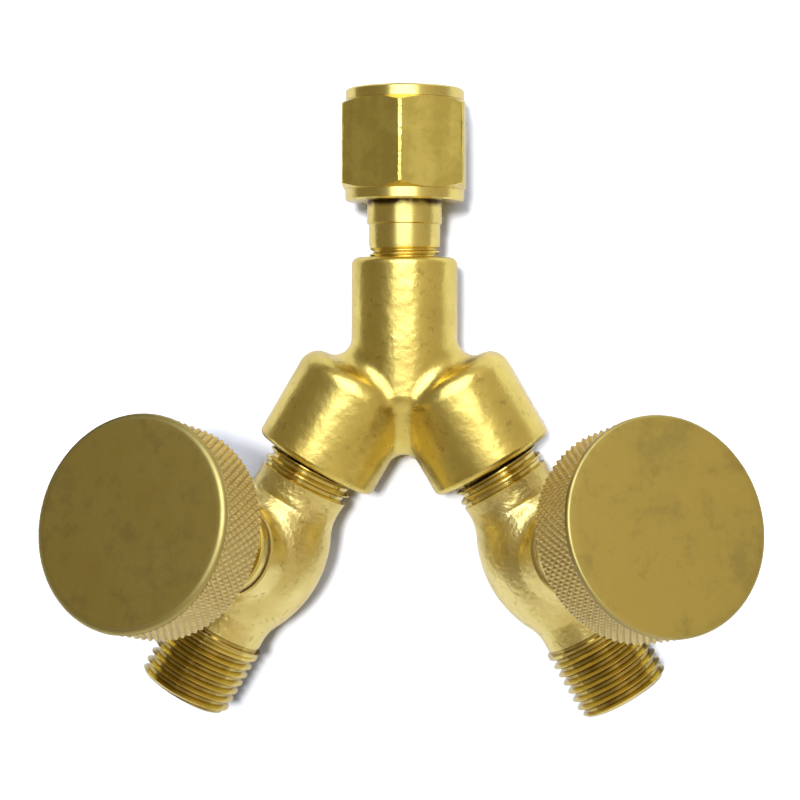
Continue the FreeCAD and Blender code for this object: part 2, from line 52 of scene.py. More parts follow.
WALL_TONES = (
    (0.00, (0.25, 0.212, 0.150)),
    (0.22, (0.23, 0.195, 0.138)),
    (0.32, (0.31, 0.268, 0.200)),
    (0.68, (0.66, 0.580, 0.475)),
    (0.85, (0.58, 0.510, 0.415)),
    (1.00, (0.48, 0.425, 0.350)),
)
NEAR_WALL = (0.76, 0.73, 0.72)
NEAR_WALL_SPAN = (-0.50, -0.88)
SWEEP_REACH = 4000.0
SWEEP_TONE = 0.93
TABLE_TONE = 0.66
TABLE_LIFT = 0.01
TABLES = (("far table", (-48, -52), (140, 110)), ("near table", (-300, -400), (300, -52)))
SOFT_BOX_PLACE = (-0.02, 0.34, 0.66)
SOFT_BOX_SIZE = (0.70, 0.85)
SOFT_BOX_WATTS = 5.4
SOFT_BOX_COLOUR = (0.93, 1.02, 1.28)
SOFT_BOX_AIM = (0, -0.04, 0)
PAPER_LAMP = 2.9
PAPER_LAMP_ANGLE = math.radians(7.0)
PAPER_LAMP_COLOUR = (0.97, 0.98, 1.0)
PAPER_LAMP_WAY = (0.10, -0.10, -1.0)


def paper(name, low, high, z, tone):
    """A flat sheet from one corner to the other, in millimetres."""
    corners = [(low[0], low[1], z), (high[0], low[1], z), (high[0], high[1], z), (low[0], high[1], z)]
    mesh = bpy.data.meshes.new(name)
    mesh.from_pydata([Vector(c) * MM for c in corners], [], [(0, 1, 2, 3)])
    sheet = bpy.data.objects.new(name, mesh)
    bpy.context.scene.collection.objects.link(sheet)
    matte = bpy.data.materials.new(name)
    matte.use_nodes = True
    shader = matte.node_tree.nodes["Principled BSDF"]
    shader.inputs["Base Color"].default_value = (tone, tone, tone, 1)
    shader.inputs["Roughness"].default_value = 0.9
    shader.inputs["Specular IOR Level"].default_value = 0.1
    mesh.materials.append(matte)
    return sheet


def soft_panel(name, place, size, watts, colour):
    light = bpy.data.lights.new(name, "AREA")
    light.shape = "RECTANGLE"
    light.size = size[0]
    light.size_y = size[1]
    light.energy = watts
    light.color = colour
    panel = bpy.data.objects.new(name, light)
    bpy.context.scene.collection.objects.link(panel)
    panel.location = place
    panel.rotation_euler = (Vector(SOFT_BOX_AIM) - Vector(place)).to_track_quat("-Z", "Y").to_euler()
    return panel


def studio_walls():
    """The walls that the brass mirrors: dark at the left, light at the right and at the near side."""
    world = bpy.data.worlds.new("studio")
    world.use_nodes = True
    nodes = world.node_tree.nodes
    link = world.node_tree.links.new
    sides = nodes.new("ShaderNodeSeparateXYZ")
    link(nodes.new("ShaderNodeTexCoord").outputs["Generated"], sides.inputs["Vector"])
    across = nodes.new("ShaderNodeMapRange")
    across.inputs["From Min"].default_value = -1.0
    link(sides.outputs["X"], across.inputs["Value"])
    walls = nodes.new("ShaderNodeValToRGB")
    while len(walls.color_ramp.elements) < len(WALL_TONES):
        walls.color_ramp.elements.new(0.5)
    for stop, (place, tone) in zip(walls.color_ramp.elements, WALL_TONES):
        stop.position = place
        stop.color = (*tone, 1)
    link(across.outputs["Result"], walls.inputs["Fac"])
    toward = nodes.new("ShaderNodeMapRange")
    toward.inputs["From Min"].default_value = NEAR_WALL_SPAN[0]
    toward.inputs["From Max"].default_value = NEAR_WALL_SPAN[1]
    link(sides.outputs["Y"], toward.inputs["Value"])
    mixed = nodes.new("ShaderNodeMix")
    mixed.data_type = "RGBA"
    mixed.inputs[7].default_value = (*NEAR_WALL, 1)
    link(toward.outputs["Result"], mixed.inputs["Factor"])
    link(walls.outputs["Color"], mixed.inputs[6])
    link(mixed.outputs[2], nodes["Background"].inputs["Color"])
    bpy.context.scene.world = world
    world.cycles_visibility.diffuse = False


sweep = paper("sweep", (-SWEEP_REACH, -SWEEP_REACH), (SWEEP_REACH, SWEEP_REACH), FLOOR_Z, SWEEP_TONE)
sweep.visible_glossy = False
for name, low, high in TABLES:
    table = paper(name, low, high, FLOOR_Z + TABLE_LIFT, TABLE_TONE)
    table.visible_camera = False
    table.visible_diffuse = False
    table.visible_shadow = False
studio_walls()
soft_panel("soft box", SOFT_BOX_PLACE, SOFT_BOX_SIZE, SOFT_BOX_WATTS, SOFT_BOX_COLOUR)
sun = bpy.data.lights.new("paper lamp", "SUN")
sun.energy = PAPER_LAMP
sun.angle = PAPER_LAMP_ANGLE
sun.color = PAPER_LAMP_COLOUR
paper_lamp = bpy.data.objects.new("paper lamp", sun)
bpy.context.scene.collection.objects.link(paper_lamp)
paper_lamp.rotation_euler = Vector(PAPER_LAMP_WAY).to_track_quat("-Z", "Y").to_euler()
paper_lamp.visible_glossy = False
bpy.context.scene.view_settings.view_transform = "Standard"

lens = bpy.data.cameras.new("camera")
lens.lens = CAMERA_LENS
lens.sensor_width = CAMERA_SENSOR
lens.clip_start = 0.01
lens.clip_end = 20.0
camera = bpy.data.objects.new("camera", lens)
bpy.context.scene.collection.objects.link(camera)
turn = Matrix.Rotation(CAMERA_TURNS[2], 3, "Z") @ Matrix.Rotation(CAMERA_TURNS[1], 3, "Y")
turn = turn @ Matrix.Rotation(CAMERA_TURNS[0], 3, "X")
camera.matrix_world = Matrix.Translation(Vector(CAMERA_PLACE) * MM) @ turn.transposed().to_4x4()
bpy.context.scene.camera = camera


# The Y body: one brass forging, tumbled and pickled after the dies, so its skin is softly pitted
# and cloudy. The tapped mouths of its sockets and barrel are machined afterwards.
CROSSING_Y = -32.4
ARM_ANGLE = 30.0
BRASS_GOLD = (0.87, 0.69, 0.175)
BRASS_OLIVE = (0.72, 0.56, 0.135)
SMUDGE_BROWN = (0.46, 0.34, 0.085)
EDGE_TINT = (0.86, 0.83, 0.88)


def group_socket(group, name, kind, way, value=None):
    socket = group.interface.new_socket(name=name, in_out=way, socket_type=kind)
    if value is not None:
        socket.default_value = value
    return socket


def join(tree, source, target):
    tree.links.new(source, target)


def noise(tree, vector, scale, detail, rough):
    node = tree.nodes.new("ShaderNodeTexNoise")
    node.inputs["Scale"].default_value = scale
    node.inputs["Detail"].default_value = detail
    node.inputs["Roughness"].default_value = rough
    join(tree, vector, node.inputs["Vector"])
    return node.outputs["Fac"]


def sums(tree, way, first, second, clamp=False):
    node = tree.nodes.new("ShaderNodeMath")
    node.operation = way
    node.use_clamp = clamp
    for socket, value in zip(node.inputs, (first, second)):
        if isinstance(value, (int, float)):
            socket.default_value = value
        else:
            join(tree, value, socket)
    return node.outputs[0]


def ramp(tree, value, low, high, to_low=0.0, to_high=1.0):
    node = tree.nodes.new("ShaderNodeMapRange")
    node.inputs["From Min"].default_value = low
    node.inputs["From Max"].default_value = high
    node.inputs["To Min"].default_value = to_low
    node.inputs["To Max"].default_value = to_high
    join(tree, value, node.inputs["Value"])
    return node.outputs["Result"]


def blend_colour(tree, factor, first, second):
    node = tree.nodes.new("ShaderNodeMix")
    node.data_type = "RGBA"
    join(tree, factor, node.inputs["Factor"])
    for socket, value in ((node.inputs[6], first), (node.inputs[7], second)):
        if isinstance(value, tuple):
            socket.default_value = (*value, 1)
        else:
            join(tree, value, socket)
    return node.outputs[2]


def tumbled_skin_group():
    """Cloud is a slow change of tone, Height an uneven, dimpled skin, Smudge its small dark marks."""
    group = bpy.data.node_groups.new("tumbled skin", "ShaderNodeTree")
    group_socket(group, "Vector", "NodeSocketVector", "INPUT")
    group_socket(group, "Dimple Scale", "NodeSocketFloat", "INPUT", 900.0)
    group_socket(group, "Dimple Share", "NodeSocketFloat", "INPUT", 0.35)
    group_socket(group, "Smudge Share", "NodeSocketFloat", "INPUT", 0.58)
    for name in ("Cloud", "Height", "Smudge"):
        group_socket(group, name, "NodeSocketFloat", "OUTPUT")
    enter = group.nodes.new("NodeGroupInput")
    leave = group.nodes.new("NodeGroupOutput")
    place = enter.outputs["Vector"]
    cloud = noise(group, place, 130.0, 3.0, 0.6)
    dimple = group.nodes.new("ShaderNodeTexNoise")
    dimple.inputs["Detail"].default_value = 3.0
    dimple.inputs["Roughness"].default_value = 0.55
    join(group, place, dimple.inputs["Vector"])
    join(group, enter.outputs["Dimple Scale"], dimple.inputs["Scale"])
    swell = noise(group, place, 260.0, 2.0, 0.5)
    speck = noise(group, place, 620.0, 4.0, 0.7)
    over = sums(group, "SUBTRACT", speck, enter.outputs["Smudge Share"])
    smudge = sums(group, "MULTIPLY", over, 9.0, True)
    dimples = sums(group, "MULTIPLY", dimple.outputs["Fac"], enter.outputs["Dimple Share"])
    height = sums(group, "ADD", dimples, swell)
    join(group, cloud, leave.inputs["Cloud"])
    join(group, height, leave.inputs["Height"])
    join(group, smudge, leave.inputs["Smudge"])
    return group


TUMBLED_SKIN = tumbled_skin_group()


def metal(name, colour, roughness):
    """A material with its shader, object coordinates and a bump node ready to be joined."""
    material = bpy.data.materials.new(name)
    material.use_nodes = True
    tree = material.node_tree
    shader = tree.nodes["Principled BSDF"]
    shader.inputs["Base Color"].default_value = (*colour, 1)
    shader.inputs["Metallic"].default_value = 1.0
    shader.inputs["Specular Tint"].default_value = (*EDGE_TINT, 1)
    shader.inputs["Roughness"].default_value = roughness
    place = tree.nodes.new("ShaderNodeTexCoord").outputs["Object"]
    bump = tree.nodes.new("ShaderNodeBump")
    join(tree, bump.outputs["Normal"], shader.inputs["Normal"])
    return material, tree, shader, place, bump


def forged_brass(name, low_tone, high_tone, roughness, dimple_scale, dimple_share, dimple_depth):
    material, tree, shader, place, bump = metal(name, high_tone, roughness)
    skin = tree.nodes.new("ShaderNodeGroup")
    skin.node_tree = TUMBLED_SKIN
    join(tree, place, skin.inputs["Vector"])
    skin.inputs["Dimple Scale"].default_value = dimple_scale
    skin.inputs["Dimple Share"].default_value = dimple_share
    tone = ramp(tree, skin.outputs["Cloud"], 0.35, 0.65)
    colour = blend_colour(tree, tone, low_tone, high_tone)
    mark = sums(tree, "MULTIPLY", skin.outputs["Smudge"], 0.55)
    colour = blend_colour(tree, mark, colour, SMUDGE_BROWN)
    join(tree, colour, shader.inputs["Base Color"])
    rough = ramp(tree, skin.outputs["Cloud"], 0.3, 0.7, roughness + 0.05, roughness - 0.05)
    join(tree, rough, shader.inputs["Roughness"])
    bump.inputs["Strength"].default_value = 0.9
    bump.inputs["Distance"].default_value = dimple_depth
    join(tree, skin.outputs["Height"], bump.inputs["Height"])
    return material


FORGED_BRASS = forged_brass(
    "forged brass", BRASS_OLIVE, BRASS_GOLD, roughness=0.30, dimple_scale=800.0, dimple_share=0.45,
    dimple_depth=0.00013,
)
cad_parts["y_body"].material_slots[0].material = FORGED_BRASS


# The valve bodies: the same forged brass, turned down and threaded at both ends. The threads are
# cut by a V-shaped groove that follows a helix and fades out where the die stops.
ARM_LEAN = 28.0
STEM_STATION = 42.8
SOCKET_MOUTH = 26.6
PIPE_PITCH = 25.4 / 18.0
PIPE_START = 17.4
PIPE_END = 30.6
PIPE_RADIUS = 6.86
PIPE_DEPTH = 0.7
PIPE_ROOT_LAND = 0.42
PIPE_FADE = 1.1
PIPE_TAPER = 1.0 / 32.0
OUTLET_PITCH = 25.4 / 18.0
OUTLET_FOOT = 55.5
OUTLET_END = 66.0
OUTLET_RADIUS = 7.14
OUTLET_DEPTH = 0.78
OUTLET_ROOT_LAND = 0.40
OUTLET_FADE = 0.7
GROOVE_STEPS = 64
GROOVE_FADE = 0.3
BEYOND_CREST = 0.12
# Length of the painted shade on the pipe thread where it enters the socket mouth.
SMEAR_LENGTH = 0.9
# Height above the outlet thread's root up to which its painted root shade reaches.
TROUGH_HEIGHT = 0.3
NECK_RADIUS = 6.6
NECK_SLOPE = 0.0983
GLOBE_START = 33.2
GLOBE_MIDDLE = 42.5
GLOBE_END = 51.8
GLOBE_CURVE = 17.1009
GLOBE_SINK = 7.7509
NECK_BLENDS = ((GLOBE_START, 2.2), (GLOBE_END, 1.6))
BLEND_STEP = 0.2
SAME_SURFACE = 0.02
BOSS_FOOT = 2.0
BOSS_REACH = 9.6
BOSS_FADE = 1.5
BOSS_TOP = 8.9
BONNET_BORE = 6.2
BONNET_BORE_FOOT = 3.0
GAS_WAY = 5.0
PIPE_RUN_OUT = 1.3
OUTLET_RELIEF = 1.2


def arm_matrix(side):
    """From an arm's own frame, X along the arm and Z along the stem, to the object's frame."""
    angle = math.radians(ARM_ANGLE)
    lean = math.radians(ARM_LEAN)
    along = Vector((side * math.sin(angle), -math.cos(angle), 0))
    outward = Vector((side * math.cos(angle), math.sin(angle), 0))
    stem = Vector((0, 0, 1)) * math.cos(lean) + outward * math.sin(lean)
    across = stem.cross(along)
    place = Matrix((along, across, stem)).transposed().to_4x4()
    place.translation = Vector((0, CROSSING_Y, 0)) * MM
    return place


def clean_copy(node, name):
    """A copy of a solid's mesh with its doubled points merged."""
    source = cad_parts[node].data
    mesh = bpy.data.meshes.new(name)
    mesh.from_pydata([v.co[:] for v in source.vertices], [], [p.vertices[:] for p in source.polygons])
    shape = bmesh.new()
    shape.from_mesh(mesh)
    bmesh.ops.remove_doubles(shape, verts=shape.verts, dist=1e-6)
    bmesh.ops.dissolve_degenerate(shape, edges=shape.edges, dist=1e-7)
    shape.to_mesh(mesh)
    shape.free()
    piece = bpy.data.objects.new(name, mesh)
    bpy.context.scene.collection.objects.link(piece)
    return piece


def plain_mesh(piece):
    """The piece with its modifiers applied, as an ordinary mesh."""
    bpy.context.view_layer.update()
    ready = piece.evaluated_get(bpy.context.evaluated_depsgraph_get())
    mesh = bpy.data.meshes.new_from_object(ready)
    piece.modifiers.clear()
    piece.data = mesh
    return piece


def crisp(piece, angle=32.0):
    """Smooth faces with sharp edges where the surface turns by more than the angle."""
    piece.data.polygons.foreach_set("use_smooth", [True] * len(piece.data.polygons))
    piece.data.set_sharp_from_angle(angle=math.radians(angle))


def forging_radius(station):
    """Radius of the neck and globe as the CAD solid has them."""
    if station < GLOBE_START:
        return NECK_RADIUS + (GLOBE_START - station) * NECK_SLOPE
    if station > GLOBE_END:
        return NECK_RADIUS
    return math.sqrt(GLOBE_CURVE ** 2 - (station - GLOBE_MIDDLE) ** 2) - GLOBE_SINK


def blend_necks(piece, arm):
    """Round the two hollows where the globe of a forging runs into its necks."""
    shape = bmesh.new()
    shape.from_mesh(piece.data)
    back = arm.inverted()
    along = arm.to_3x3() @ Vector((1, 0, 0))
    for foot, reach in NECK_BLENDS:
        for k in range(int(2.0 * reach / BLEND_STEP) + 1):
            spot = arm @ Vector(((foot - reach + k * BLEND_STEP) * MM, 0, 0))
            parts = shape.verts[:] + shape.edges[:] + shape.faces[:]
            bmesh.ops.bisect_plane(shape, geom=parts, dist=1e-7, plane_co=spot, plane_no=along)
    for point in shape.verts:
        spot = (back @ point.co) / MM
        out = math.hypot(spot.y, spot.z)
        for foot, reach in NECK_BLENDS:
            share = (spot.x - foot + reach) / (2.0 * reach)
            if not 0.0 < share < 1.0 or abs(out - forging_radius(spot.x)) > SAME_SURFACE:
                continue
            soft = (1.0 - share) ** 2 * forging_radius(foot - reach)
            soft += share ** 2 * forging_radius(foot + reach)
            soft += 2.0 * share * (1.0 - share) * NECK_RADIUS
            from_boss = math.hypot(spot.x - STEM_STATION, spot.y) - BOSS_REACH
            weight = min(max(from_boss / BOSS_FADE, 0.0), 1.0) if spot.z > BOSS_FOOT else 1.0
            grow = 1.0 + weight * (soft / out - 1.0)
            point.co = arm @ (Vector((spot.x, spot.y * grow, spot.z * grow)) * MM)
    shape.to_mesh(piece.data)
    shape.free()


def thread_groove_tree():
    """Geometry nodes that sweep a V-shaped groove along a helix about Z."""
    tree = bpy.data.node_groups.new("thread groove", "GeometryNodeTree")
    group_socket(tree, "Geometry", "NodeSocketGeometry", "INPUT")
    for name, value in (
        ("Pitch", 1.4), ("Turns", 6.0), ("Root Radius", 6.0), ("Taper", 0.0), ("Depth", 0.8),
        ("Root Land", 0.15), ("Beyond Crest", 0.08), ("Side", 1.0), ("Fade In", 0.01), ("Fade Out", 0.01),
    ):
        group_socket(tree, name, "NodeSocketFloat", "INPUT", value)
    group_socket(tree, "Steps", "NodeSocketInt", "INPUT", 300)
    group_socket(tree, "Finish", "NodeSocketMaterial", "INPUT")
    group_socket(tree, "Geometry", "NodeSocketGeometry", "OUTPUT")
    enter = tree.nodes.new("NodeGroupInput").outputs
    leave = tree.nodes.new("NodeGroupOutput")

    line = tree.nodes.new("GeometryNodeCurvePrimitiveLine")
    points = tree.nodes.new("GeometryNodeResampleCurve")
    join(tree, line.outputs["Curve"], points.inputs["Curve"])
    join(tree, enter["Steps"], points.inputs["Count"])
    index = tree.nodes.new("GeometryNodeInputIndex").outputs[0]
    share = sums(tree, "DIVIDE", index, sums(tree, "SUBTRACT", enter["Steps"], 1.0))
    turned = sums(tree, "MULTIPLY", share, enter["Turns"])
    left = sums(tree, "SUBTRACT", enter["Turns"], turned)
    rise = sums(tree, "MULTIPLY", turned, enter["Pitch"])
    full_in = sums(tree, "DIVIDE", turned, enter["Fade In"])
    full_out = sums(tree, "DIVIDE", left, enter["Fade Out"])
    full = sums(tree, "MINIMUM", sums(tree, "MINIMUM", full_in, full_out), 1.0)
    lift = sums(tree, "MULTIPLY", sums(tree, "SUBTRACT", 1.0, full), enter["Depth"])
    lift = sums(tree, "MULTIPLY", lift, enter["Side"])
    radius = sums(tree, "ADD", enter["Root Radius"], sums(tree, "MULTIPLY", rise, enter["Taper"]))
    radius = sums(tree, "MULTIPLY", sums(tree, "ADD", radius, lift), MM)
    angle = sums(tree, "MULTIPLY", turned, 2.0 * math.pi)
    place = tree.nodes.new("ShaderNodeCombineXYZ")
    join(tree, sums(tree, "MULTIPLY", radius, sums(tree, "COSINE", angle, 0.0)), place.inputs["X"])
    join(tree, sums(tree, "MULTIPLY", radius, sums(tree, "SINE", angle, 0.0)), place.inputs["Y"])
    join(tree, sums(tree, "MULTIPLY", rise, MM), place.inputs["Z"])
    helix = tree.nodes.new("GeometryNodeSetPosition")
    join(tree, points.outputs["Curve"], helix.inputs["Geometry"])
    join(tree, place.outputs["Vector"], helix.inputs["Position"])
    upright = tree.nodes.new("GeometryNodeSetCurveNormal")
    upright.mode = "Z_UP"
    join(tree, helix.outputs["Geometry"], upright.inputs["Curve"])

    tall = sums(tree, "ADD", enter["Depth"], enter["Beyond Crest"])
    wide = sums(tree, "MULTIPLY", tall, 2.0 * math.tan(math.radians(30.0)))
    wide = sums(tree, "ADD", wide, enter["Root Land"])
    profile = tree.nodes.new("GeometryNodeCurvePrimitiveQuadrilateral")
    profile.mode = "TRAPEZOID"
    join(tree, sums(tree, "MULTIPLY", tall, MM), profile.inputs["Height"])
    join(tree, sums(tree, "MULTIPLY", enter["Root Land"], MM), profile.inputs["Bottom Width"])
    join(tree, sums(tree, "MULTIPLY", wide, MM), profile.inputs["Top Width"])
    profile.inputs["Offset"].default_value = 0.0
    turn_profile = tree.nodes.new("GeometryNodeTransform")
    join(tree, profile.outputs["Curve"], turn_profile.inputs["Geometry"])
    quarter = tree.nodes.new("ShaderNodeCombineXYZ")
    join(tree, sums(tree, "MULTIPLY", enter["Side"], -math.pi / 2.0), quarter.inputs["Z"])
    join(tree, quarter.outputs["Vector"], turn_profile.inputs["Rotation"])
    shift = tree.nodes.new("ShaderNodeCombineXYZ")
    half = sums(tree, "MULTIPLY", sums(tree, "MULTIPLY", tall, enter["Side"]), 0.5 * MM)
    join(tree, half, shift.inputs["X"])
    join(tree, shift.outputs["Vector"], turn_profile.inputs["Translation"])

    sweep = tree.nodes.new("GeometryNodeCurveToMesh")
    sweep.inputs["Fill Caps"].default_value = True
    join(tree, upright.outputs["Curve"], sweep.inputs["Curve"])
    join(tree, turn_profile.outputs["Geometry"], sweep.inputs["Profile Curve"])
    real = tree.nodes.new("GeometryNodeRealizeInstances")
    join(tree, sweep.outputs["Mesh"], real.inputs["Geometry"])
    finish = tree.nodes.new("GeometryNodeSetMaterial")
    join(tree, real.outputs["Geometry"], finish.inputs["Geometry"])
    join(tree, enter["Finish"], finish.inputs["Material"])
    join(tree, finish.outputs["Geometry"], leave.inputs["Geometry"])
    return tree


def set_inputs(modifier, **values):
    """Give a geometry nodes modifier its inputs by their names, with spaces for underscores."""
    for item in modifier.node_group.interface.items_tree:
        key = item.name.replace(" ", "_")
        if item.in_out == "INPUT" and key in values:
            modifier[item.identifier] = values[key]


THREAD_GROOVE = thread_groove_tree()


def thread_groove(name, place, **sizes):
    """The body that a die or tap takes away, as a closed mesh at its place."""
    groove = bpy.data.objects.new(name, bpy.data.meshes.new(name))
    bpy.context.scene.collection.objects.link(groove)
    modifier = groove.modifiers.new("groove", "NODES")
    modifier.node_group = THREAD_GROOVE
    set_inputs(modifier, Steps=int(sizes["Turns"] * GROOVE_STEPS) + 1, **sizes)
    plain_mesh(groove)
    groove.data.transform(place)
    shape = bmesh.new()
    shape.from_mesh(groove.data)
    bmesh.ops.remove_doubles(shape, verts=shape.verts, dist=1e-8)
    bmesh.ops.recalc_face_normals(shape, faces=shape.faces)
    shape.to_mesh(groove.data)
    shape.free()
    return groove


def carve(piece, cutter):
    """Take the cutter's body out of the piece."""
    modifier = piece.modifiers.new("carve", "BOOLEAN")
    modifier.operation = "DIFFERENCE"
    modifier.solver = "EXACT"
    modifier.object = cutter
    plain_mesh(piece)
    bpy.data.objects.remove(cutter)


def about_axis(tree, place, axis):
    """Distance of the shaded point from an axis and its station along it, in metres."""
    centred = tree.nodes.new("ShaderNodeMapping")
    back = axis.inverted()
    centred.inputs["Location"].default_value = back.translation
    centred.inputs["Rotation"].default_value = back.to_euler()
    join(tree, place, centred.inputs["Vector"])
    parts = tree.nodes.new("ShaderNodeSeparateXYZ")
    join(tree, centred.outputs["Vector"], parts.inputs["Vector"])
    flat = tree.nodes.new("ShaderNodeCombineXYZ")
    join(tree, parts.outputs["X"], flat.inputs["X"])
    join(tree, parts.outputs["Y"], flat.inputs["Y"])
    out = tree.nodes.new("ShaderNodeVectorMath")
    out.operation = "LENGTH"
    join(tree, flat.outputs["Vector"], out.inputs[0])
    return out.outputs["Value"], parts.outputs["Z"]


def turned_brass(name, colour, roughness, axis, ring_pitch, smears=(), trough=None):
    """Bright machined brass, with the fine rings that the tool leaves about the turned axis. A shade band
    is painted shade, darkest at its first station along the axis and gone at the last. The root
    shade's two radii are where the painted shade in a thread's roots is full and where it ends."""
    material, tree, shader, place, bump = metal(name, colour, roughness)
    out, station = about_axis(tree, place, axis)
    rings = tree.nodes.new("ShaderNodeCombineXYZ")
    join(tree, out, rings.inputs["X"])
    join(tree, station, rings.inputs["Y"])
    marks = noise(tree, rings.outputs["Vector"], 1.0 / (ring_pitch * MM), 2.0, 0.5)
    haze = noise(tree, place, 240.0, 3.0, 0.6)
    tone = ramp(tree, haze, 0.35, 0.7)
    darker = tuple(c * 0.84 for c in colour)
    skin = blend_colour(tree, tone, darker, colour)
    # Painted shade: each band darkens the brass toward near-black brown, fading out along the axis.
    for full, gone in smears:
        near = ramp(tree, station, full * MM, gone * MM, 1.35, 0.0)
        patchy = ramp(tree, noise(tree, place, 520.0, 3.0, 0.6), 0.3, 0.6, 0.35, 1.0)
        skin = blend_colour(tree, sums(tree, "MULTIPLY", near, patchy, True), skin, OIL_BROWN)
    # Painted shade in the thread roots: darkest at the root radius and gone toward the crest.
    if trough:
        deep = ramp(tree, out, trough[0] * MM, trough[1] * MM, 1.0, 0.0)
        patchy = ramp(tree, noise(tree, place, 420.0, 3.0, 0.6), 0.3, 0.65, 0.45, 0.95)
        skin = blend_colour(tree, sums(tree, "MULTIPLY", deep, patchy), skin, TROUGH_BROWN)
    join(tree, skin, shader.inputs["Base Color"])
    rough = ramp(tree, haze, 0.3, 0.7, roughness + 0.06, roughness - 0.04)
    join(tree, rough, shader.inputs["Roughness"])
    bump.inputs["Strength"].default_value = 0.35
    bump.inputs["Distance"].default_value = 0.00002
    join(tree, marks, bump.inputs["Height"])
    return material


# Near-black brown of the painted shade bands.
OIL_BROWN = (0.06, 0.037, 0.014)
# Brown of the painted shade in the thread roots.
TROUGH_BROWN = (0.36, 0.25, 0.05)
THREAD_GOLD = (0.82, 0.66, 0.20)
THREAD_RINGS = 0.12
LAY_ALONG = Matrix.Rotation(math.pi / 2.0, 4, "Y")
VALVE_TAN = (0.94, 0.785, 0.30)
VALVE_OLIVE = (0.80, 0.64, 0.20)
VALVE_SKIN = forged_brass(
    "forged valve skin", VALVE_OLIVE, VALVE_TAN, roughness=0.34, dimple_scale=1300.0, dimple_share=0.9,
    dimple_depth=0.00016,
)
for name, side in (("left", -1), ("right", 1)):
    arm = arm_matrix(side)
    axis = arm @ LAY_ALONG
    body = clean_copy(name + "_valve_body", name + "_valve_forging")
    blend_necks(body, arm)
    start = PIPE_START - PIPE_PITCH
    root = PIPE_RADIUS - PIPE_DEPTH + (start - SOCKET_MOUTH) * PIPE_TAPER
    groove = thread_groove(
        name + "_pipe_groove", axis @ Matrix.Translation((0, 0, start * MM)),
        Pitch=PIPE_PITCH, Turns=(PIPE_END - start) / PIPE_PITCH, Root_Radius=root, Taper=PIPE_TAPER,
        Depth=PIPE_DEPTH, Root_Land=PIPE_ROOT_LAND, Beyond_Crest=BEYOND_CREST, Fade_Out=PIPE_FADE,
    )
    carve(body, groove)
    start = OUTLET_FOOT + 0.1
    groove = thread_groove(
        name + "_outlet_groove", axis @ Matrix.Translation((0, 0, start * MM)),
        Pitch=OUTLET_PITCH, Turns=(OUTLET_END + OUTLET_PITCH - start) / OUTLET_PITCH,
        Root_Radius=OUTLET_RADIUS - OUTLET_DEPTH, Depth=OUTLET_DEPTH, Root_Land=OUTLET_ROOT_LAND,
        Beyond_Crest=BEYOND_CREST, Fade_In=OUTLET_FADE,
    )
    carve(body, groove)
    crisp(body)
    body.data.materials.clear()
    body.data.materials.append(VALVE_SKIN)
    # Painted shade on the pipe thread where it enters the socket mouth.
    smear = ((SOCKET_MOUTH, SOCKET_MOUTH + SMEAR_LENGTH),)
    # Painted shade in the outlet thread's roots.
    trough = (OUTLET_RADIUS - OUTLET_DEPTH, OUTLET_RADIUS - TROUGH_HEIGHT)
    for finish in (
        turned_brass(name + " pipe thread", THREAD_GOLD, 0.15, axis, THREAD_RINGS, smear),
        turned_brass(name + " outlet thread", THREAD_GOLD, 0.13, axis, THREAD_RINGS, (), trough),
    ):
        body.data.materials.append(finish)
    back = arm.inverted()
    for face in body.data.polygons:
        spot = (back @ face.center) / MM
        out = math.hypot(spot.y, spot.z)
        in_groove = spot.x < PIPE_END + GROOVE_FADE and out < forging_radius(spot.x) - SAME_SURFACE
        in_bore = math.hypot(spot.x - STEM_STATION, spot.y) < BONNET_BORE and spot.z > BONNET_BORE_FOOT
        machined = out < GAS_WAY or in_bore or spot.z > BOSS_TOP or spot.x > OUTLET_FOOT - OUTLET_RELIEF
        if machined:
            face.material_index = 2
        elif in_groove or spot.x < PIPE_END - PIPE_RUN_OUT:
            face.material_index = 1
        else:
            face.material_index = 0
    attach(body, "fitting")
    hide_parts(name + "_valve_body")


# The inlet nipple: turned from bar, with a small pipe thread that enters the barrel, two plain
# diameters, the collar that holds the nut and the round nose that seals in the outlet it is put on.
NIPPLE_PITCH = 25.4 / 27.0
NIPPLE_THREAD_FOOT = 0.5
NIPPLE_THREAD_TOP = 9.5
NIPPLE_RIM = 7.7
NIPPLE_THREAD_RADIUS = 5.14
NIPPLE_DEPTH = 0.62
NIPPLE_GOLD = (0.88, 0.71, 0.20)
STAND_ALONG_Y = Matrix.Rotation(-math.pi / 2.0, 4, "X")
BARREL_AXIS = Matrix.Translation((0, CROSSING_Y * MM, 0)) @ STAND_ALONG_Y
# Painted shadow of the nut on the nipple, just below the nut's rear face.
NIPPLE_SMEARS = ((16.0, 14.9), (16.0, 15.3))
TURNED_NIPPLE = turned_brass("turned nipple brass", NIPPLE_GOLD, 0.25, BARREL_AXIS, 0.1, NIPPLE_SMEARS)

nipple = clean_copy("inlet_nipple", "threaded_nipple")
start = NIPPLE_THREAD_FOOT - NIPPLE_PITCH
root = NIPPLE_THREAD_RADIUS - NIPPLE_DEPTH + (start - NIPPLE_RIM) * PIPE_TAPER
groove = thread_groove(
    "nipple_groove", BARREL_AXIS @ Matrix.Translation((0, 0, start * MM)),
    Pitch=NIPPLE_PITCH, Turns=(NIPPLE_THREAD_TOP - 0.1 - start) / NIPPLE_PITCH, Root_Radius=root,
    Taper=PIPE_TAPER, Depth=NIPPLE_DEPTH, Root_Land=0.1, Beyond_Crest=0.05, Fade_Out=0.7,
)
carve(nipple, groove)
crisp(nipple)
nipple.data.materials.append(TURNED_NIPPLE)
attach(nipple, "fitting")
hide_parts("inlet_nipple")


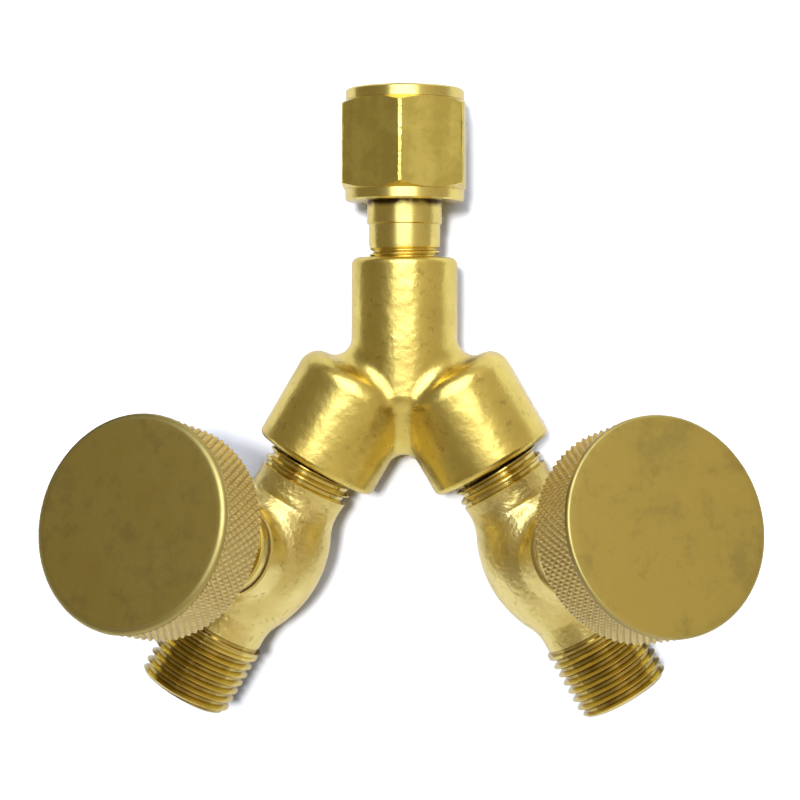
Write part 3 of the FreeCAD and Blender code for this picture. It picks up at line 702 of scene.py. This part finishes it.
# The inlet nut: cut from hexagon bar, faced and turned to a collar at both ends, and tapped from
# its mouth. Its flats keep the drawn bar's dull skin, while the collars and chamfers are bright.
NUT_THREAD_FOOT = -9.4
NUT_BORE = 6.38
NUT_DEPTH = 0.8
NUT_FLATS = 17.8
NUT_LENGTH = 16.4
NUT_COLLAR_LENGTH = 1.6
NUT_CORNER_WEAR = 0.22
NUT_CORNER_CUTS = 47
NUT_CORNER_REACH = 9.5
NUT_BURR = 0.16
NUT_BURR_SPAN = 6.2
NUT_SOCKET = 7.6
NUT_LEAD = 0.5
NUT_FACE = math.radians(2.6)
DRAWN_BAR = (0.90, 0.755, 0.20)
WORN_BAR = (0.66, 0.53, 0.12)


def drawn_bar_brass():
    material, tree, shader, place, bump = metal("drawn hexagon bar", DRAWN_BAR, 0.34)
    stretch = tree.nodes.new("ShaderNodeMapping")
    stretch.inputs["Scale"].default_value = (1.0, 0.16, 1.0)
    join(tree, place, stretch.inputs["Vector"])
    streaks = noise(tree, stretch.outputs["Vector"], 1900.0, 2.0, 0.5)
    stains = noise(tree, place, 210.0, 4.0, 0.65)
    long = tree.nodes.new("ShaderNodeMapping")
    long.inputs["Scale"].default_value = (1.0, 0.03, 1.0)
    join(tree, place, long.inputs["Vector"])
    bands = noise(tree, long.outputs["Vector"], 300.0, 2.0, 0.5)
    worn = ramp(tree, sums(tree, "ADD", stains, sums(tree, "MULTIPLY", bands, 0.6)), 0.70, 0.94)
    join(tree, blend_colour(tree, worn, WORN_BAR, DRAWN_BAR), shader.inputs["Base Color"])
    join(tree, ramp(tree, stains, 0.3, 0.7, 0.42, 0.30), shader.inputs["Roughness"])
    waves = noise(tree, place, 420.0, 2.0, 0.5)
    uneven = sums(tree, "ADD", sums(tree, "MULTIPLY", streaks, 0.25), waves)
    bump.inputs["Strength"].default_value = 0.4
    bump.inputs["Distance"].default_value = 0.00006
    join(tree, uneven, bump.inputs["Height"])
    return material


nut = clean_copy("inlet_nut", "tapped_nut")
shape = bmesh.new()
shape.from_mesh(nut.data)
corners = []
for edge in shape.edges:
    span = (edge.verts[0].co - edge.verts[1].co).normalized()
    turn = math.degrees(edge.calc_face_angle(0.0))
    out = math.hypot(*edge.verts[0].co.xz)
    if abs(span.y) > 0.999 and turn > 45.0 and out > NUT_CORNER_REACH * MM:
        corners.append(edge)
parts = bmesh.ops.subdivide_edges(shape, edges=corners, cuts=NUT_CORNER_CUTS)["geom_inner"]
middles = {item for item in parts if isinstance(item, bmesh.types.BMVert)}
corners = set(corners)
for point in middles:
    for edge in point.link_edges:
        span = (edge.verts[0].co - edge.verts[1].co).normalized()
        if abs(span.y) > 0.999:
            corners.add(edge)
before = {point.co.copy().freeze() for point in shape.verts}
bmesh.ops.bevel(
    shape, geom=list(corners), offset=NUT_CORNER_WEAR * MM, segments=1, affect="EDGES", profile=0.5,
)
burr = Random(7)
for point in shape.verts:
    from_middle = abs(point.co.y + NUT_LENGTH / 2.0 * MM)
    if point.co.copy().freeze() in before or from_middle > NUT_BURR_SPAN * MM:
        continue
    for k in range(6):
        bearing = k * math.pi / 3.0 + NUT_FACE
        normal = Vector((math.cos(bearing), 0, math.sin(bearing)))
        if abs(point.co.dot(normal) - NUT_FLATS / 2.0 * MM) < 0.001 * MM:
            along = normal.cross(Vector((0, 1, 0)))
            way = -1.0 if point.co.dot(along) > 0 else 1.0
            point.co += along * way * burr.random() * NUT_BURR * MM
shape.to_mesh(nut.data)
shape.free()
groove = thread_groove(
    "nut_groove", Matrix.Translation((0, (NUT_THREAD_FOOT - NUT_LEAD) * MM, 0)) @ STAND_ALONG_Y,
    Pitch=OUTLET_PITCH, Turns=(1.0 + NUT_LEAD - NUT_THREAD_FOOT) / OUTLET_PITCH,
    Root_Radius=NUT_BORE + NUT_DEPTH, Depth=NUT_DEPTH, Root_Land=0.16, Beyond_Crest=0.08, Side=-1.0,
)
carve(nut, groove)
crisp(nut, 24.0)
nut.data.materials.append(drawn_bar_brass())
nut.data.materials.append(turned_brass("turned nut brass", NIPPLE_GOLD, 0.24, STAND_ALONG_Y, 0.1))
for face in nut.data.polygons:
    spot = face.center / MM
    out = math.hypot(spot.x, spot.z)
    on_collar = min(-spot.y, NUT_LENGTH + spot.y) < NUT_COLLAR_LENGTH
    on_chamfer = abs(face.normal.y) > 0.2
    face.material_index = 1 if on_collar or on_chamfer or out < NUT_SOCKET else 0
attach(nut, "inlet_nut")
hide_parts("inlet_nut")


# The seals in the tapered threads, the flat gaskets and the packings: compound, fibre and nylon
# that show only as a thin line where two brass pieces meet.
def dull_seal(name, colour, roughness, grain):
    material, tree, shader, place, bump = metal(name, colour, roughness)
    shader.inputs["Metallic"].default_value = 0.0
    fleck = noise(tree, place, grain, 3.0, 0.6)
    darker = tuple(c * 0.6 for c in colour)
    skin = blend_colour(tree, ramp(tree, fleck, 0.35, 0.65), darker, colour)
    join(tree, skin, shader.inputs["Base Color"])
    bump.inputs["Distance"].default_value = 0.00003
    bump.inputs["Strength"].default_value = 0.5
    join(tree, fleck, bump.inputs["Height"])
    return material


# The thread seals are a real compound, coloured near-black as painted shade in the gap where the threads
# enter the sockets and the barrel.
THREAD_COMPOUND = dull_seal("thread compound", (0.045, 0.035, 0.025), 0.6, 2500.0)
BROWN_FIBRE = dull_seal("brown fibre", (0.45, 0.32, 0.15), 0.7, 3500.0)
WHITE_NYLON = dull_seal("natural nylon", (0.75, 0.72, 0.64), 0.45, 1200.0)
WHITE_PACKING = dull_seal("white packing", (0.86, 0.86, 0.84), 0.5, 2000.0)
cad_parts["inlet_thread_seal"].material_slots[0].material = THREAD_COMPOUND
for name in ("left", "right"):
    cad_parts[name + "_thread_seal"].material_slots[0].material = THREAD_COMPOUND
    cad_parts[name + "_packing"].material_slots[0].material = WHITE_PACKING
    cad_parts[name + "_bonnet_gasket"].material_slots[0].material = BROWN_FIBRE
    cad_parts[name + "_seat_disc"].material_slots[0].material = WHITE_NYLON


# Bonnet, packing washer, packing nut, seat holder and stem: small turned brass pieces on the axis
# of each valve's stem, with hexagons for the spanner.
TRIM_GOLD = (0.66, 0.51, 0.135)
BONNET_BROWN = (0.84, 0.68, 0.19)
TRIM_PIECES = ("packing_washer", "packing_nut", "seat_holder", "stem")
for name, side in (("left", -1), ("right", 1)):
    stem_axis = arm_matrix(side) @ Matrix.Translation((STEM_STATION * MM, 0, 0))
    trim_brass = turned_brass(name + " turned trim", TRIM_GOLD, 0.24, stem_axis, 0.09)
    for piece in TRIM_PIECES:
        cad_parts[name + "_" + piece].material_slots[0].material = trim_brass
    dull_trim = turned_brass(name + " turned bonnet", BONNET_BROWN, 0.24, stem_axis, 0.09)
    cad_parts[name + "_bonnet"].material_slots[0].material = dull_trim


# The knobs: discs turned from round bar, faced and left to dull, with a rolled diamond knurl that
# stops at a plain band below the face, and a cross hole for the set screw that grips the stem.
KNOB_RADIUS = 15.0
KNOB_BACK = 25.6
KNOB_FACE = 35.6
KNOB_EDGE = 0.5
FACE_EDGE = {"left": 0.9, "right": 0.4}
EDGE_STEPS = 6
HUB_RADIUS = 5.4
HUB_FOOT = 23.8
HUB_EDGE = 0.4
KNOB_BORE = 2.43
KNOB_BORE_TOP = 32.8
SCREW_HEIGHT = 30.6
SCREW_HOLE = 2.10
KNURL_COUNT = 90
KNURL_COLUMNS = 8 * KNURL_COUNT
KNURL_PITCH = 1.78
KNURL_LOW = 26.15
KNURL_HIGH = 34.8
KNURL_ROWS = 56
KNURL_DEPTH = 0.42
DULL_FACE = (0.73, 0.56, 0.135)
DULL_STAIN = (0.52, 0.40, 0.105)
# Dark brown for the knob's back, hub, bore and rim band: painted shade and painted dark reflection.
BAND_BROWN = (0.42, 0.30, 0.08)
KNURL_TAN = (0.95, 0.785, 0.30)
# Colour at the floor of the knurl grooves; the knurl gets darker toward it.
KNURL_GRIME = (0.58, 0.43, 0.16)
KNURL_DUST = (0.78, 0.62, 0.23)
KNURL_FLOOR = 14.58
KNURL_RIM_SHARE = 0.965
KNURL_SKIN = 0.6
FACE_RINGS = (0.9, 0.6, 0.3)
BAND_SKIN = 0.02
EDGE_GOLD = (0.74, 0.61, 0.20)
# Painted shade: the left knob's face and edges are coloured darker than the right knob's, for the less
# light that side gets.
KNOB_GRIME = {"left": 0.72, "right": 0.84}


def rounded_edge(size, height, start):
    """The quarter round between the rim and a face, from the start angle on."""
    turns = [math.radians(start + 90.0 * k / EDGE_STEPS) for k in range(EDGE_STEPS + 1)]
    return [(KNOB_RADIUS - size * (1.0 - math.cos(t)), height + size * math.sin(t)) for t in turns]


def knob_blank(name, face_edge):
    """The knob turned about Z, with close rings where the knurl goes."""
    step = (KNURL_HIGH - KNURL_LOW) / KNURL_ROWS
    profile = [(0.0, KNOB_BORE_TOP), (KNOB_BORE, KNOB_BORE_TOP), (KNOB_BORE, HUB_FOOT)]
    profile += [(HUB_RADIUS - HUB_EDGE, HUB_FOOT), (HUB_RADIUS, HUB_FOOT + HUB_EDGE)]
    profile += [(HUB_RADIUS, KNOB_BACK)]
    profile += rounded_edge(KNOB_EDGE, KNOB_BACK + KNOB_EDGE, -90.0)
    profile += [(KNOB_RADIUS, KNURL_LOW + row * step) for row in range(KNURL_ROWS + 1)]
    profile += rounded_edge(face_edge, KNOB_FACE - face_edge, 0.0)
    profile += [(KNOB_RADIUS * share, KNOB_FACE) for share in FACE_RINGS] + [(0.0, KNOB_FACE)]
    columns = KNURL_COLUMNS
    shape = bmesh.new()
    rings = []
    for radius, height in profile:
        if radius == 0.0:
            rings.append([shape.verts.new((0, 0, height * MM))])
            continue
        ring = []
        for column in range(columns):
            angle = 2.0 * math.pi * column / columns
            spot = (radius * math.cos(angle) * MM, radius * math.sin(angle) * MM, height * MM)
            ring.append(shape.verts.new(spot))
        rings.append(ring)
    for lower, upper in zip(rings, rings[1:]):
        for column in range(columns):
            after = (column + 1) % columns
            if len(lower) == 1:
                shape.faces.new((lower[0], upper[after], upper[column]))
            elif len(upper) == 1:
                shape.faces.new((lower[column], lower[after], upper[0]))
            else:
                shape.faces.new((lower[column], lower[after], upper[after], upper[column]))
    bmesh.ops.recalc_face_normals(shape, faces=shape.faces)
    mesh = bpy.data.meshes.new(name)
    shape.to_mesh(mesh)
    shape.free()
    piece = bpy.data.objects.new(name, mesh)
    bpy.context.scene.collection.objects.link(piece)
    return piece


def knurl_tree():
    """Geometry nodes that press two crossing sets of helical grooves into a round band."""
    tree = bpy.data.node_groups.new("diamond knurl", "GeometryNodeTree")
    group_socket(tree, "Geometry", "NodeSocketGeometry", "INPUT")
    for name in ("Radius", "Low", "High", "Pitch", "Count", "Depth", "Crest Flat", "Fade"):
        group_socket(tree, name, "NodeSocketFloat", "INPUT", 1.0)
    group_socket(tree, "Finish", "NodeSocketMaterial", "INPUT")
    group_socket(tree, "Geometry", "NodeSocketGeometry", "OUTPUT")
    enter = tree.nodes.new("NodeGroupInput").outputs
    leave = tree.nodes.new("NodeGroupOutput")
    parts = tree.nodes.new("ShaderNodeSeparateXYZ")
    join(tree, tree.nodes.new("GeometryNodeInputPosition").outputs[0], parts.inputs["Vector"])
    height = sums(tree, "DIVIDE", parts.outputs["Z"], MM)
    angle = sums(tree, "ARCTAN2", parts.outputs["Y"], parts.outputs["X"])
    around = sums(tree, "MULTIPLY", sums(tree, "DIVIDE", angle, 2.0 * math.pi), enter["Count"])
    along = sums(tree, "DIVIDE", sums(tree, "SUBTRACT", height, enter["Low"]), enter["Pitch"])
    ridges = []
    for way in ("ADD", "SUBTRACT"):
        saw = sums(tree, "FRACT", sums(tree, way, around, along), 0.0)
        fold = sums(tree, "ABSOLUTE", sums(tree, "SUBTRACT", saw, 0.5), 0.0)
        ridges.append(sums(tree, "SUBTRACT", 1.0, sums(tree, "MULTIPLY", fold, 2.0)))
    stand = sums(tree, "MINIMUM", ridges[0], ridges[1])
    stand = sums(tree, "DIVIDE", stand, sums(tree, "SUBTRACT", 1.0, enter["Crest Flat"]))
    sink = sums(tree, "SUBTRACT", 1.0, sums(tree, "MINIMUM", stand, 1.0))
    from_low = sums(tree, "DIVIDE", sums(tree, "SUBTRACT", height, enter["Low"]), enter["Fade"])
    from_high = sums(tree, "DIVIDE", sums(tree, "SUBTRACT", enter["High"], height), enter["Fade"])
    share = sums(tree, "MINIMUM", from_low, from_high, True)
    reach = tree.nodes.new("ShaderNodeVectorMath")
    reach.operation = "LENGTH"
    level = tree.nodes.new("ShaderNodeCombineXYZ")
    join(tree, parts.outputs["X"], level.inputs["X"])
    join(tree, parts.outputs["Y"], level.inputs["Y"])
    join(tree, level.outputs["Vector"], reach.inputs[0])
    rim = sums(tree, "MULTIPLY", enter["Radius"], KNURL_RIM_SHARE * MM)
    on_rim = sums(tree, "GREATER_THAN", reach.outputs["Value"], rim)
    press = sums(tree, "MULTIPLY", sums(tree, "MULTIPLY", sink, share), on_rim)
    press = sums(tree, "MULTIPLY", press, enter["Depth"])
    keep = sums(tree, "SUBTRACT", 1.0, sums(tree, "DIVIDE", press, enter["Radius"]))
    place = tree.nodes.new("ShaderNodeCombineXYZ")
    join(tree, sums(tree, "MULTIPLY", parts.outputs["X"], keep), place.inputs["X"])
    join(tree, sums(tree, "MULTIPLY", parts.outputs["Y"], keep), place.inputs["Y"])
    join(tree, parts.outputs["Z"], place.inputs["Z"])
    pressed = tree.nodes.new("GeometryNodeSetPosition")
    join(tree, enter["Geometry"], pressed.inputs["Geometry"])
    join(tree, place.outputs["Vector"], pressed.inputs["Position"])
    real = tree.nodes.new("GeometryNodeRealizeInstances")
    join(tree, pressed.outputs["Geometry"], real.inputs["Geometry"])
    finish = tree.nodes.new("GeometryNodeSetMaterial")
    join(tree, real.outputs["Geometry"], finish.inputs["Geometry"])
    join(tree, enter["Finish"], finish.inputs["Material"])
    join(tree, finish.outputs["Geometry"], leave.inputs["Geometry"])
    return tree


def dulled_face_brass(name, grime):
    # The face colours are scaled down by the knob's painted side shade.
    clean = tuple(c * grime for c in DULL_FACE)
    material, tree, shader, place, bump = metal(name + " dulled knob face", clean, 0.42)
    cloud = noise(tree, place, 95.0, 6.0, 0.62)
    blotch = noise(tree, place, 330.0, 5.0, 0.7)
    tone = ramp(tree, cloud, 0.40, 0.62)
    skin = blend_colour(tree, tone, tuple(c * 0.84 for c in clean), clean)
    stain = ramp(tree, sums(tree, "ADD", blotch, cloud), 0.78, 1.0)
    skin = blend_colour(tree, stain, tuple(c * grime for c in DULL_STAIN), skin)
    join(tree, skin, shader.inputs["Base Color"])
    join(tree, ramp(tree, cloud, 0.35, 0.65, 0.50, 0.38), shader.inputs["Roughness"])
    bump.inputs["Strength"].default_value = 0.35
    bump.inputs["Distance"].default_value = 0.00004
    grain = noise(tree, place, 1100.0, 3.0, 0.5)
    join(tree, sums(tree, "ADD", grain, blotch), bump.inputs["Height"])
    return material


def stained_band_brass():
    # Painted shade: the rim band and the knob's back are coloured dark brown, mottled by noise.
    material, tree, shader, place, bump = metal("stained rim band", BAND_BROWN, 0.4)
    dirt = noise(tree, place, 500.0, 4.0, 0.6)
    tone = ramp(tree, dirt, 0.35, 0.65)
    darker = tuple(c * 0.75 for c in BAND_BROWN)
    join(tree, blend_colour(tree, tone, darker, BAND_BROWN), shader.inputs["Base Color"])
    bump.inputs["Strength"].default_value = 0.3
    bump.inputs["Distance"].default_value = 0.00003
    join(tree, dirt, bump.inputs["Height"])
    return material


def rolled_knurl_brass(name, stem_axis):
    material, tree, shader, place, bump = metal(name + " rolled knurl", KNURL_TAN, 0.36)
    dust = noise(tree, place, 700.0, 4.0, 0.6)
    tone = ramp(tree, dust, 0.35, 0.65)
    skin = blend_colour(tree, tone, KNURL_DUST, KNURL_TAN)
    # Darker toward the floor of the knurl grooves.
    height = ramp(tree, about_axis(tree, place, stem_axis)[0], KNURL_FLOOR * MM, KNOB_RADIUS * MM)
    join(tree, blend_colour(tree, height, KNURL_GRIME, skin), shader.inputs["Base Color"])
    bump.inputs["Strength"].default_value = 0.4
    bump.inputs["Distance"].default_value = 0.00004
    join(tree, dust, bump.inputs["Height"])
    return material


KNURL = knurl_tree()
STAINED_BAND = stained_band_brass()
for name, side in (("left", -1), ("right", 1)):
    stem_axis = arm_matrix(side) @ Matrix.Translation((STEM_STATION * MM, 0, 0))
    bearing = Matrix.Rotation(side * math.pi / 2.0, 4, "Z")
    face_edge = FACE_EDGE[name]
    knob = knob_blank(name + "_knurled_knob", face_edge)
    dulled_face = dulled_face_brass(name, KNOB_GRIME[name])
    pressing = knob.modifiers.new("knurl", "NODES")
    pressing.node_group = KNURL
    set_inputs(
        pressing, Radius=KNOB_RADIUS, Low=KNOB_BACK - 0.2, High=KNURL_HIGH, Pitch=KNURL_PITCH,
        Count=float(KNURL_COUNT), Depth=KNURL_DEPTH, Crest_Flat=0.15, Fade=0.2, Finish=dulled_face,
    )
    plain_mesh(knob)
    hole = bmesh.new()
    long = KNOB_RADIUS + 1.0
    bmesh.ops.create_cone(
        hole, cap_ends=True, segments=64, radius1=SCREW_HOLE * MM, radius2=SCREW_HOLE * MM,
        depth=long * MM, matrix=Matrix.Translation((long / 2.0 * MM, 0, SCREW_HEIGHT * MM)) @ LAY_ALONG,
    )
    drill = bpy.data.objects.new("drill", bpy.data.meshes.new("drill"))
    hole.to_mesh(drill.data)
    hole.free()
    bpy.context.scene.collection.objects.link(drill)
    carve(knob, drill)
    # The edge colour takes the same painted side shade as the face.
    edge_tone = tuple(c * KNOB_GRIME[name] for c in EDGE_GOLD)
    edges = turned_brass(name + " knob edges", edge_tone, 0.44, stem_axis, 0.1)
    knob.data.materials.clear()
    for finish in (dulled_face, rolled_knurl_brass(name, stem_axis), edges, STAINED_BAND):
        knob.data.materials.append(finish)
    for face in knob.data.polygons:
        spot = face.center / MM
        out = math.hypot(spot.x, spot.y)
        if spot.z > KNOB_FACE - 0.01 and out < KNOB_RADIUS - face_edge:
            face.material_index = 0
        elif out > KNOB_RADIUS - KNOB_EDGE - KNURL_DEPTH and spot.z < KNURL_HIGH:
            face.material_index = 1
        elif spot.z > KNURL_HIGH and out < KNOB_RADIUS - BAND_SKIN:
            face.material_index = 2
        else:
            face.material_index = 3
    crisp(knob, 28.0)
    points = knob.data.vertices
    for edge in knob.data.edges:
        ends = [points[i].co / MM for i in edge.vertices]
        low, high = sorted(p.z for p in ends)
        out = min(math.hypot(p.x, p.y) for p in ends)
        if low > KNOB_BACK and high < KNURL_HIGH and out > KNOB_RADIUS - KNURL_SKIN:
            edge.use_edge_sharp = False
    knob.data.transform(stem_axis @ bearing)
    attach(knob, name + "_spindle")
    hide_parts(name + "_knob")


# The set screws: short blackened steel grub screws, one in each knob. Each has a hexagon socket in
# its outer end, for the key that turns it through the hole in the knurl.
STEEL_BLACK = (0.06, 0.06, 0.065)


def blackened_steel():
    material, tree, shader, place, bump = metal("blackened steel", STEEL_BLACK, 0.4)
    oil = noise(tree, place, 1500.0, 2.0, 0.5)
    join(tree, ramp(tree, oil, 0.3, 0.7, 0.3, 0.5), shader.inputs["Roughness"])
    bump.inputs["Distance"].default_value = 0.00002
    join(tree, oil, bump.inputs["Height"])
    return material


BLACKENED_STEEL = blackened_steel()
for name in ("left", "right"):
    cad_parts[name + "_knob_set_screw"].material_slots[0].material = BLACKENED_STEEL
